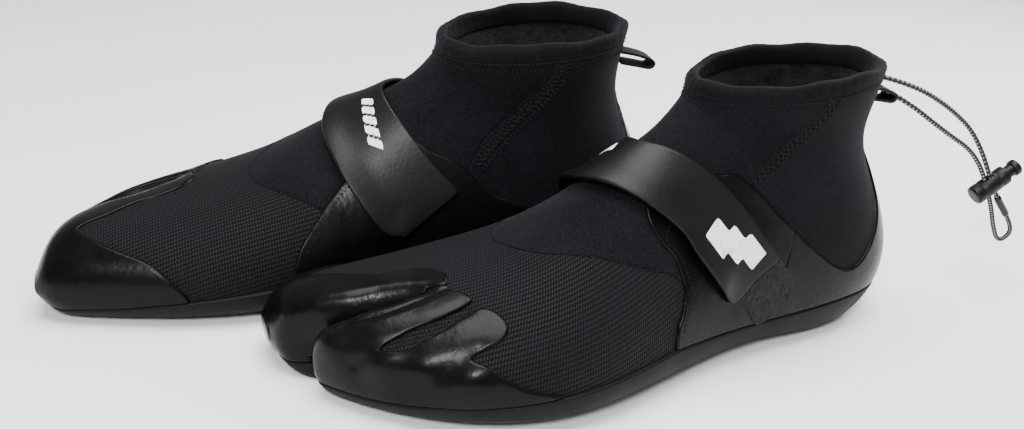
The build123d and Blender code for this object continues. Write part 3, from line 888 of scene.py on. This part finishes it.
badge_xz = [(112, 62), (104, 68), (99, 62), (96, 64.5), (91, 58), (88, 60.5), (80, 51), (88, 45),
            (93, 51), (96, 48.5), (101, 54.5), (104, 52)]
outer_side = np.where(Y > 12, 9.0, -9.0)
g_badge = np.minimum(inside_distance(base_v[:, [0, 2]], np.array(badge_xz, float)), outer_side)
badge = clip_shell(g_badge, STRAP_HIGH - 0.25, STRAP_HIGH + 0.16, 0.2, 0.5, raise_by=STRAP_LIFT)
both("outer_badge", badge, "white", "strap", ["outer_mark"])


def dash_field(origin, along, across, count, pitch, length, width):
    """A row of plain bars on the form."""
    origin, along, across = (np.array(q, float) for q in (origin, along, across))
    along, across = along / np.linalg.norm(along), across / np.linalg.norm(across)
    r = base_v - origin
    a, b, c = r @ along, r @ across, r @ np.cross(along, across)
    g = np.full(len(base_v), -9.0)
    for i in range(count):
        middle = (i - (count - 1) / 2) * pitch
        g = np.maximum(g, np.minimum(length / 2 - np.abs(a - middle), width / 2 - np.abs(b)))
    return np.where(np.abs(c) < 12, g, -9.0)


g_dash = dash_field((134.5, -11.5, 81), (0.45, -0.80, -0.40), (0.85, 0.35, -0.45), 5, 4.1, 2.9, 5.6)
dashes = clip_shell(g_dash, STRAP_HIGH - 0.25, STRAP_HIGH + 0.12, 0.2, 0.5, raise_by=STRAP_LIFT)
both("inner_dashes", dashes, "white", nodes=["inner_mark"])


# ------------------------------------------------------------ sweeps and stitches
def tube_faces(rows, count, closed):
    """Faces of a tube of rings with count points each; an open tube is capped."""
    f = []
    for i in range(rows if closed else rows - 1):
        j = (i + 1) % rows
        for a in range(count):
            b = (a + 1) % count
            f.append((i * count + a, i * count + b, j * count + b, j * count + a))
    if not closed:
        f.append(tuple(range(count - 1, -1, -1)))
        f.append(tuple((rows - 1) * count + a for a in range(count)))
    return f


def outward(v, f):
    """Faces turned so that the closed mesh's volume is positive."""
    volume = 0.0
    for face in f:
        a = v[face[0]]
        for i in range(1, len(face) - 1):
            volume += np.dot(a, np.cross(v[face[i]], v[face[i + 1]]))
    return f if volume > 0 else [g[::-1] for g in f]


def lengths_along(points):
    return np.concatenate([[0], np.cumsum(np.linalg.norm(np.diff(points, axis=0), axis=1))])


def frames_along(points, up, closed):
    """Points with their tangents, and directions across and up at each."""
    p = np.asarray(points, float)
    if closed:
        t = np.roll(p, -1, 0) - np.roll(p, 1, 0)
    else:
        t = np.gradient(p, axis=0)
    t /= np.linalg.norm(t, axis=1, keepdims=True)
    ups = np.broadcast_to(np.array(up, float), p.shape).copy()
    for i in range(len(p)):
        side = ups[i] - (ups[i] @ t[i]) * t[i]
        ups[i] = side / np.linalg.norm(side)
    return p, np.cross(t, ups), ups


def sweep(points, section, up, closed=False, scale=None):
    """Sweeps a closed 2-D section, in millimetres, along points."""
    p, across, ups = frames_along(points, up, closed)
    section = np.array(section, float)
    n, k = len(p), len(section)
    size = np.ones(n) if scale is None else np.asarray(scale)
    v = (p[:, None] + across[:, None] * (section[None, :, 0, None] * size[:, None, None])
         + ups[:, None] * (section[None, :, 1, None] * size[:, None, None])).reshape(-1, 3)
    uv = np.stack([np.repeat(lengths_along(p), k), np.tile(np.arange(k) * (1.0 / k), n)], 1)
    return v, outward(v, tube_faces(n, k, closed)), uv


def circle(radius, count=10):
    a = np.arange(count) * FULL_TURN / count
    return np.stack([radius * np.cos(a), radius * np.sin(a)], 1)


def rounded_bar(half_w, half_h, corner, count=4):
    out = []
    for sx, sy, start in ((1, 1, 0), (-1, 1, 90), (-1, -1, 180), (1, -1, 270)):
        for k in range(count + 1):
            a = math.radians(start + 90 * k / count)
            x = sx * (half_w - corner) + corner * math.cos(a)
            y = sy * (half_h - corner) + corner * math.sin(a)
            out.append((x, y))
    return out


def join(parts):
    """Several (vertices, faces, uv) as one."""
    vs, fs, us, base = [], [], [], 0
    for v, f, u in parts:
        vs.append(v)
        us.append(u)
        fs += [tuple(i + base for i in face) for face in f]
        base += len(v)
    return np.concatenate(vs), fs, np.concatenate(us)


# A thread's rings: place along it, height in radii, and size.
THREAD = ((-1, -0.9, 0.25), (-0.72, 0.1, 0.9), (0, 0.35, 1.0), (0.72, 0.1, 0.9), (1, -0.9, 0.25))
THREAD_SIDES = 6


def capsule(centre, along, up, length, radius):
    """A short thread whose ends turn down into the cloth."""
    along = along / np.linalg.norm(along)
    side = np.cross(up, along)
    side /= np.linalg.norm(side)
    v = []
    for place, height, size in THREAD:
        p = centre + along * place * length / 2 + up * (height * radius)
        for a in range(THREAD_SIDES):
            w = FULL_TURN * a / THREAD_SIDES
            v.append(p + (side * math.cos(w) + up * math.sin(w)) * radius * size)
    return np.array(v), tube_faces(len(THREAD), THREAD_SIDES, False), np.zeros((len(v), 2))


def even_points(line, pitch):
    line = np.asarray(line, float)
    s = lengths_along(line)
    count = max(int(s[-1] / pitch), 2)
    where = np.linspace(0, s[-1], count)
    return np.stack([np.interp(where, s, line[:, k]) for k in range(3)], 1)


def stitch_row(line, pitch, length, radius, height, slant, shift=0.0, zigzag=False):
    """Threads along a line on the boot. slant turns each one, in degrees."""
    places = [on_form(p) for p in even_points(smooth_line(line, 6), pitch)]
    normals = [n for _, n, _ in places]
    places = np.array([q for q, _, _ in places])
    tangents = np.gradient(places, axis=0)
    tangents /= np.linalg.norm(tangents, axis=1, keepdims=True)
    parts = []
    for i, (p, n, t) in enumerate(zip(places, normals, tangents)):
        side = np.cross(n, t)
        angle = math.radians(slant * (1 if not zigzag or i % 2 else -1) + random.uniform(-3, 3))
        direction = t * math.cos(angle) + side * math.sin(angle)
        parts.append(capsule(p + side * shift + n * height, direction, n, length, radius))
    return join(parts)


# ------------------------------------------------------------ collar
def collar_ring(out, up):
    """Ring at a height from the rim and a distance out; below the rim it follows the form."""
    if up < 0:
        places = [on_form(p) for p in rim_ring + RIM_UP * up]
        ring = np.array([q for q, _, _ in places])
        normal = np.array([n for _, n, _ in places])
        normal -= np.outer(normal @ RIM_UP, RIM_UP)
        normal /= np.linalg.norm(normal, axis=1, keepdims=True)
        return ring + normal * out + RIM_UP * rim_rise(ring[:, 1:2])
    ring = rim_ring
    t = np.roll(ring, -1, 0) - np.roll(ring, 1, 0)
    t /= np.linalg.norm(t, axis=1, keepdims=True)
    n = np.cross(t, RIM_UP)
    flip = np.sign(((ring - ring.mean(0)) * n).sum(1).mean())
    return ring + n * flip * out + RIM_UP * (up + rim_rise(ring[:, 1:2]))


girth = lengths_along(rim_ring)
# the collar's waves, in millimetres; four long ones go round it
LONG_WAVE, SHORT_WAVE, GATHERS = 71, 29, 6.3
wave_place = girth * (LONG_WAVE * 4 / (girth[-1] + np.linalg.norm(rim_ring[0] - rim_ring[-1])))
# middle of the rolled edge: distance out from the form and height from the rim
ROLL_OUT, ROLL_UP = -1.9, -4.4
ROLL_POINTS = 28


def collar_mesh():
    rows = []
    for k in range(ROLL_POINTS):
        a = FULL_TURN * k / ROLL_POINTS
        c, s = math.cos(a), math.sin(a)
        up = ROLL_UP + math.copysign(abs(s) ** 0.72, s) * 5.0
        out = ROLL_OUT + math.copysign(abs(c) ** 0.8, c) * (2.65 + 0.09 * up * (c > 0))
        ring = collar_ring(out, up)
        high = np.clip((up + 9.4) / 8, 0, 1)
        gather = 0.10 * np.sin(wave_place * FULL_TURN / GATHERS + 2.0 * np.sin(wave_place / 17)) * high
        sway = (0.55 * np.sin(wave_place * FULL_TURN / LONG_WAVE + 0.7) * high
                + 0.35 * np.sin(wave_place * FULL_TURN / SHORT_WAVE) * high)
        away = collar_ring(out + 1.0, up) - ring
        rows.append(ring + away * gather[:, None] + RIM_UP * (sway + 0.25 * gather)[:, None])
    cols = len(rim_ring)
    v = np.array(rows).reshape(-1, 3)
    uv = np.stack([np.repeat(np.arange(ROLL_POINTS) * 0.9, cols), np.tile(girth, ROLL_POINTS)], 1)
    return v, outward(v, tube_faces(ROLL_POINTS, cols, True)), uv


both("collar_roll", collar_mesh(), "collar", nodes=["collar"])
ring_cord = sweep(collar_ring(-1.7, ROLL_UP)[::4], circle(CORD_DIAMETER * 500), RIM_UP, closed=True)
both("tunnel_ring_cord", ring_cord, "cord", nodes=["tunnel_cord"])


def ring_stitches(out, up, pitch, length, radius, slant, zigzag):
    ring = collar_ring(out, up)
    points = even_points(np.concatenate([ring, ring[:1]]), pitch)
    parts = []
    for i, (p, d) in enumerate(zip(points, np.gradient(points, axis=0))):
        d = d / np.linalg.norm(d)
        n = np.cross(d, RIM_UP)
        if n @ (p - rim_ring.mean(0)) < 0:
            n = -n
        angle = math.radians(slant * (1 if not zigzag or i % 2 else -1))
        direction = d * math.cos(angle) + np.cross(n, d) * math.sin(angle)
        parts.append(capsule(p, direction, n, length, radius))
    return join(parts)


rows = [ring_stitches(0.32, -6.9, 1.9, 1.5, 0.24, 8, False),
        ring_stitches(0.12, -10.2, 1.9, 2.2, 0.2, 55, True)]
both("collar_stitches", join(rows), "thread")

# ------------------------------------------------------------ seams
# Kinds of stitch: pitch, length, thread radius, height and slant in degrees.
CROSS_STITCH = (1.25, 3.4, 0.30, 0.10, 62)
COVER_STITCH = (1.9, 1.5, 0.28, 0.10, 10)
FINE_STITCH = (1.7, 1.3, 0.2, 0.02, 12)
RUBBER_STITCH = (2.1, 1.6, 0.24, RUBBER + 0.06, 4)
TOE_CROSS_STITCH = (1.3, 2.1, 0.30, 0.05, 58)
TOE_EDGE_STITCH = (1.5, 1.3, 0.30, 0.10, 4)
outer_seam = [(57, 33.5, 117), (61.7, 31.8, 109.1), (71.4, 28.3, 95.4), (79, 27, 86.5), (84, 26.5, 80.5)]
inner_seam = [(52, -32, 115), (56.2, -31.9, 105), (70.6, -30.1, 88.2), (84, -30, 72), (88, -30, 66)]
fore_seam = [(125, 39.8, 51.5), (138.7, 41.4, 54.6), (148, 40.8, 57.7), (162.3, 36.1, 61.1),
             (173, 29, 60.5), (182, 19.4, 58.3), (189.5, 3, 55.5), (188, -9, 54.5), (180, -19, 54),
             (168, -28.2, 52), (158, -33, 48), (153, -36, 44)]
parts = []
for seam in (outer_seam, inner_seam):
    parts.append(stitch_row(seam, *CROSS_STITCH, zigzag=True))
    for shift in (-3.0, -1.9, 1.9, 3.0):
        parts.append(stitch_row(seam, *COVER_STITCH, shift=shift))
parts.append(stitch_row(fore_seam, *FINE_STITCH))
both("seam_threads", join(parts), "thread")

wrap_stitch = [(124.5, 31.5, 70), (128.5, 34.5, 64), (122.6, 37.8, 56.7), (120.5, 40.2, 50),
               (118.3, 42.2, 43.5), (120.6, 45.4, 35), (123.2, 48.2, 28)]
toe_seam = [(213, 36.2, 43.9), (222, 36.0, 41.0), (231, 35.4, 37.2), (240, 34.8, 33.6), (246, 33.6, 30.8)]
inner_wrap_stitch = [(166, -40.5, 32), (157, -33.5, 44), (151, -29, 52), (144.5, -26, 58)]
parts = [
    stitch_row(wrap_stitch, *RUBBER_STITCH),
    stitch_row(inner_wrap_stitch, *RUBBER_STITCH),
    stitch_row(toe_seam, *TOE_CROSS_STITCH, zigzag=True),
    stitch_row(toe_seam, *TOE_EDGE_STITCH, shift=1.6),
    stitch_row(toe_seam, *TOE_EDGE_STITCH, shift=-1.6),
]
both("rubber_stitches", join(parts), "thread")

# ------------------------------------------------------------ pull tab
tab_line = smooth_line([(18.5, 0, 112.0), (10.5, 0, 110.6), (3.6, 0, 108.4), (0.9, 0, 106.2),
    (2.8, 0, 104.2), (9, 0, 105.2), (17, 0, 106.6)], 6)
tab_up = np.cross(np.gradient(tab_line, axis=0), (0, 1, 0))
both("pull_tab_loop", sweep(tab_line, rounded_bar(5.5, 0.75, 0.6), tab_up), "tab",
     nodes=["pull_tab"])

# ------------------------------------------------------------ drawcord and lock, left boot
# Directions of the lock: along the cord, and along the button.
DOWN, REAR = np.array([-0.527, 0, -0.850]), np.array([-0.850, 0, 0.527])
ACROSS = np.array([0, 1.0, 0])
LOCK = np.array([-72.0, 0, 54.0])


def at(s, t):
    """A place s along the cord and t along the button from the lock's middle."""
    return tuple(LOCK + s * DOWN + t * REAR)


# The cord's control points: out of the collar, through the lock, round and back.
ROUTE = [
    (16.0, 0, 117.0), (-9.0, 0, 110.8), (-35.0, 0, 97.8), at(-31, 1.6), at(8, 1.6), at(25, 4.6), at(36, 4.6),
    at(36, -4.6), at(25, -4.6), at(8, -1.6), at(-22, -1.6), (-35.0, 0, 85.6), (-9.0, 0, 102.5),
    (16.0, 0, 114.0),
]


def make_drawcord():
    data = bpy.data.curves.new("left_drawcord_line", "CURVE")
    data.dimensions = "3D"
    spline = data.splines.new("NURBS")
    spline.points.add(len(ROUTE) - 1)
    for point, place in zip(spline.points, to_row(ROUTE, "left")):
        point.co = (*place, 1.0)
    spline.order_u = 3
    spline.use_endpoint_u = True
    data.resolution_u = 14
    data.bevel_depth = CORD_DIAMETER / 2
    data.bevel_resolution = 4
    data.use_fill_caps = True
    obj = add_object("left_drawcord_line", data)
    data.materials.append(MAT["cord"])
    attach(obj, "left_boot")
    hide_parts("left_drawcord")
    return obj


drawcord = make_drawcord()


def cord_points():
    """Centreline of the drawcord, in boot millimetres."""
    bare = drawcord.data.copy()
    bare.bevel_depth = 0.0
    holder = add_object("cord_probe", bare)
    bpy.context.view_layer.update()
    mesh = bpy.data.meshes.new_from_object(holder)
    pts = np.array([v.co[:] for v in mesh.vertices]) * 1000.0 + np.array(ORIGIN)
    bpy.data.objects.remove(holder)
    bpy.data.meshes.remove(mesh)
    return pts


cord_line = cord_points()
down_line = (cord_line - LOCK) @ DOWN
rear_side = (cord_line - LOCK) @ REAR > 0
SLEEVE_START, SLEEVE_END, SLEEVE_RADIUS = 9.0, 23.5, 1.8
leg_points = cord_line[rear_side & (down_line > SLEEVE_START) & (down_line < SLEEVE_END)]
size = np.ones(len(leg_points))
size[0] = size[-1] = 0.86
v, f, uv = sweep(leg_points, circle(SLEEVE_RADIUS, 16), ACROSS, scale=size)
sleeve = add_mesh("left_splice_tube", to_row(v, "left"), f, "sleeve", "left_boot", uv,
                  ["left_splice_sleeve"])


def round_barrel(angle):
    """Direction out from the barrel's axis at an angle round it."""
    return ACROSS * math.cos(angle) + DOWN * math.sin(angle)


def revolve(profile, count=48):
    """Turns (along, radius) pairs about the lock's barrel axis; closed."""
    v = []
    for a in range(count):
        ray = round_barrel(FULL_TURN * a / count)
        v += [LOCK + REAR * along + ray * radius for along, radius in profile]
    v = np.array(v)
    return v, outward(v, tube_faces(count, len(profile), True)), np.zeros((len(v), 2))


def box_along(centre, half_down, half_rear, half_y):
    """Corners and faces of a box that lies along the lock."""
    v = []
    for a in (-1, 1):
        for b in (-1, 1):
            for c in (-1, 1):
                v.append(centre + DOWN * a * half_down + REAR * b * half_rear + np.array([0, c * half_y, 0]))
    v = np.array(v)
    return v, outward(v, [(0, 1, 3, 2), (4, 6, 7, 5), (0, 4, 5, 1), (2, 3, 7, 6), (0, 2, 6, 4),
                          (1, 5, 7, 3)])


def cut_slot(obj, half_rear, half_y, shift):
    """Cuts the cord's way through a lock piece."""
    v, f = box_along(LOCK + REAR * shift, 9.0, half_rear, half_y)
    data = bpy.data.meshes.new("slot")
    data.from_pydata([tuple(p) for p in to_row(v, "left")], [], f)
    cutter = add_object("slot", data)
    modifier = obj.modifiers.new("slot", "BOOLEAN")
    modifier.operation = "DIFFERENCE"
    modifier.object = cutter
    modifier.solver = "EXACT"
    bpy.context.view_layer.update()
    mesh = bpy.data.meshes.new_from_object(obj.evaluated_get(bpy.context.evaluated_depsgraph_get()))
    obj.modifiers.clear()
    obj.data = mesh
    bpy.data.objects.remove(cutter)


def lock_piece(name, profile, body, node, slot_half, slot_shift):
    """A turned plastic piece with the cord's slot cut through it."""
    v, f, uv = revolve(profile)
    obj = add_mesh(name, to_row(v, "left"), f, "plastic", body, uv, [node])
    cut_slot(obj, slot_half, 1.5, slot_shift)
    obj.data.polygons.foreach_set("use_smooth", [True] * len(obj.data.polygons))
    edge = obj.modifiers.new("edge", "EDGE_SPLIT")
    edge.split_angle = math.radians(42)
    return obj


def arc(cx, cr, radius, start, end, count=5):
    """Profile points on a circle about (cx, cr), from start to end degrees."""
    out = []
    for k in range(count + 1):
        a = math.radians(start + (end - start) * k / count)
        out.append((cx + radius * math.cos(a), cr + radius * math.sin(a)))
    return out


def groove(middle):
    """A shallow ring cut in the barrel's wall."""
    return [(middle + step, radius) for step, radius in ((-0.6, 4.8), (-0.2, 4.55), (0.2, 4.55),
    (0.6, 4.8))]


barrel_profile = (
    [(-10, 0.01)] + arc(-8.7, 3.5, 1.3, 180, 90) + groove(-5.0) + groove(5.0)
    + arc(9.2, 4.0, 0.8, 90, 0) + [(10, 3.3), (-8, 3.25), (-8, 0.01)]
)
lock_body = lock_piece("left_lock_barrel", barrel_profile, "cord_lock", "left_lock_body", 3.2, 0.0)
plunger_profile = (
    [(-5, 0.01), (-5, 2.9), (-4.7, 3.2), (14.2, 3.2), (14.2, 3.9), (14.5, 4.1)]
    + arc(16.3, 2.8, 1.3, 90, 0) + [(17.2, 0.01)]
)
plunger = lock_piece("left_lock_button", plunger_profile, "lock_plunger", "left_lock_plunger", 4.45, 1.25)

# The spring: its start and length along the barrel, its radius and its wire.
COIL_START, COIL_LENGTH, COIL_RADIUS, WIRE_RADIUS = -7.7, 2.4, 2.2, 0.25
COIL_STEPS, STEPS_A_TURN = 96, 36
coil = [
    LOCK + REAR * (COIL_START + COIL_LENGTH * i / COIL_STEPS)
    + round_barrel(FULL_TURN * i / STEPS_A_TURN) * COIL_RADIUS
    for i in range(COIL_STEPS + 1)
]
v, f, uv = sweep(coil, circle(WIRE_RADIUS, 8), REAR)
spring = add_mesh("left_lock_coil", to_row(v, "left"), f, "steel", "cord_lock", uv,
                  ["left_lock_spring"])
row_point(at(0, -8.0))
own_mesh(spring)
row_point((13.4, 0, 116.4))


# ------------------------------------------------------------ floor and light
def make_floor(half=6.0):
    data = bpy.data.meshes.new("floor")
    data.from_pydata([(-half, -half, 0), (half, -half, 0), (half, half, 0),
    (-half, half, 0)], [], [(0, 1, 2, 3)])
    m = Nodes("floor")
    grain = m.noise(m.place(), 3.0, 2.0)
    color = m.mix(m.ramp(grain, 0.3, 0.7), (0.86, 0.86, 0.86), (0.89, 0.89, 0.89))
    data.materials.append(m.finish(color, 0.9))
    return add_object("floor", data)


def add_light(name, place, target, size, power):
    data = bpy.data.lights.new(name, "AREA")
    data.shape = "RECTANGLE"
    data.size, data.size_y = size
    data.energy = power
    obj = add_object(name, data)
    obj.location = place
    obj.rotation_euler = (Vector(target) - Vector(place)).to_track_quat("-Z", "Y").to_euler()
    return obj


SKY_SEEN, SKY_LIGHT = 1.6, 0.42


def make_world():
    """Pale to the camera, dimmer as a light, so that black rubber stays black."""
    world = bpy.data.worlds.new("studio")
    bpy.context.scene.world = world
    world.use_nodes = True
    tree = world.node_tree
    back = tree.nodes["Background"]
    back.inputs[0].default_value = (1.0, 1.0, 1.0, 1)
    path = tree.nodes.new("ShaderNodeLightPath")
    power = tree.nodes.new("ShaderNodeMapRange")
    power.inputs["To Min"].default_value = SKY_LIGHT
    power.inputs["To Max"].default_value = SKY_SEEN
    tree.links.new(path.outputs["Is Camera Ray"], power.inputs["Value"])
    tree.links.new(power.outputs["Result"], back.inputs[1])


make_world()
make_floor()
add_light("overhead", (0.0, 0.05, 1.1), (0, 0, 0), (0.8, 0.8), 26.0)
add_light("key", (0.45, 0.75, 0.75), (0.05, 0, 0.03), (0.24, 0.24), 12.0)
add_light("rear", (-0.75, -0.2, 0.55), (-0.05, 0, 0.05), (0.45, 0.35), 6.0)
